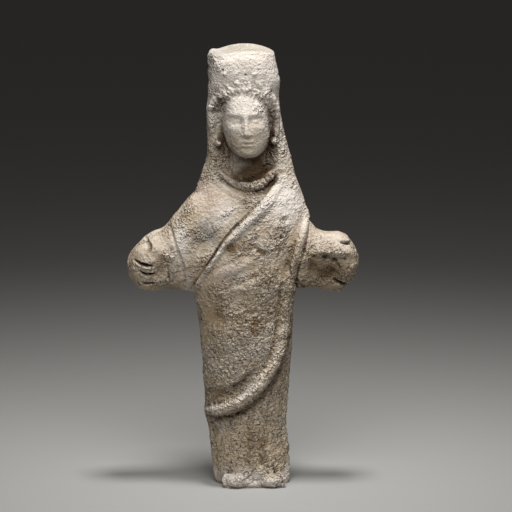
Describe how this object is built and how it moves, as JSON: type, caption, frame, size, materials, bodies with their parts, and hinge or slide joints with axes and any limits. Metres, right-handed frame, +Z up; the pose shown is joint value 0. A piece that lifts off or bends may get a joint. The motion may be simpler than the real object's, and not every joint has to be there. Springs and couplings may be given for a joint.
{
  "type": "cruciform figurine",
  "caption": "Moulded terracotta figurine of a standing veiled woman in a tall crown and a diagonal mantle, with short arms held straight out.",
  "frame": {"origin": "middle of the figure's bounding box at the level of its flat underside", "axes": "+Z up through the figure, front towards -Y, arms along X; the mantle hangs from the shoulder on the +X side"},
  "size_m": [0.1254, 0.0376, 0.24],
  "materials": {
    "terracotta": "matt fired clay, pale and weathered"
  },
  "bodies": {
    "root": {"figurine": "terracotta"}
  },
  "joints": []
}
